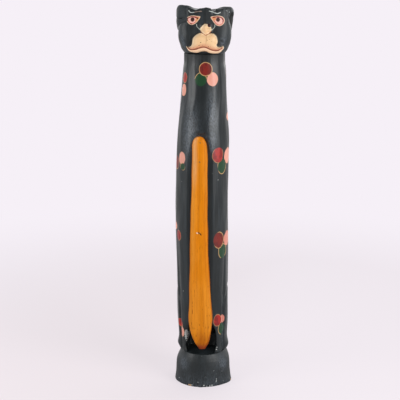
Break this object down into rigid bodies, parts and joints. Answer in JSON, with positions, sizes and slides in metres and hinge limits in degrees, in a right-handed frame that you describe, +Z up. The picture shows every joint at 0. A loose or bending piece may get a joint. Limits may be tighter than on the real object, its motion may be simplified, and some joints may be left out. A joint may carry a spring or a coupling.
{
  "type": "carved wooden cat figure",
  "caption": "Tall slender painted wooden cat seated upright on a round plinth, with a raised ochre belly strip, rounded ears and a carved face",
  "frame": {"origin": "centre of the plinth's flat foot", "axes": "+Z up through the neck, -Y the way the body faces, +X to the cat's left"},
  "size_m": [0.1496, 0.1624, 1],
  "materials": {
    "dark_paint": "satin slate-green paint, brushed along the grain, rubbed at the edges",
    "ochre_stain": "varnished ochre stain with the grain showing",
    "bare_wood": "bare",
    "nail_steel": "dull, stained over"
  },
  "bodies": {
    "root": {"plinth": "dark_paint", "body_log": "dark_paint", "belly_strip": "ochre_stain", "tail": "dark_paint", "head": "dark_paint", "ear_left": "dark_paint", "ear_right": "dark_paint", "ear_dowel_left": "bare_wood", "ear_dowel_right": "bare_wood", "neck_dowel": "bare_wood", "plinth_dowel_left": "bare_wood", "plinth_dowel_right": "bare_wood", "tail_pin_1": "bare_wood", "tail_pin_2": "bare_wood", "tail_pin_3": "bare_wood", "belly_nail_1": "nail_steel", "belly_nail_2": "nail_steel", "belly_nail_3": "nail_steel", "belly_nail_4": "nail_steel"}
  },
  "joints": []
}
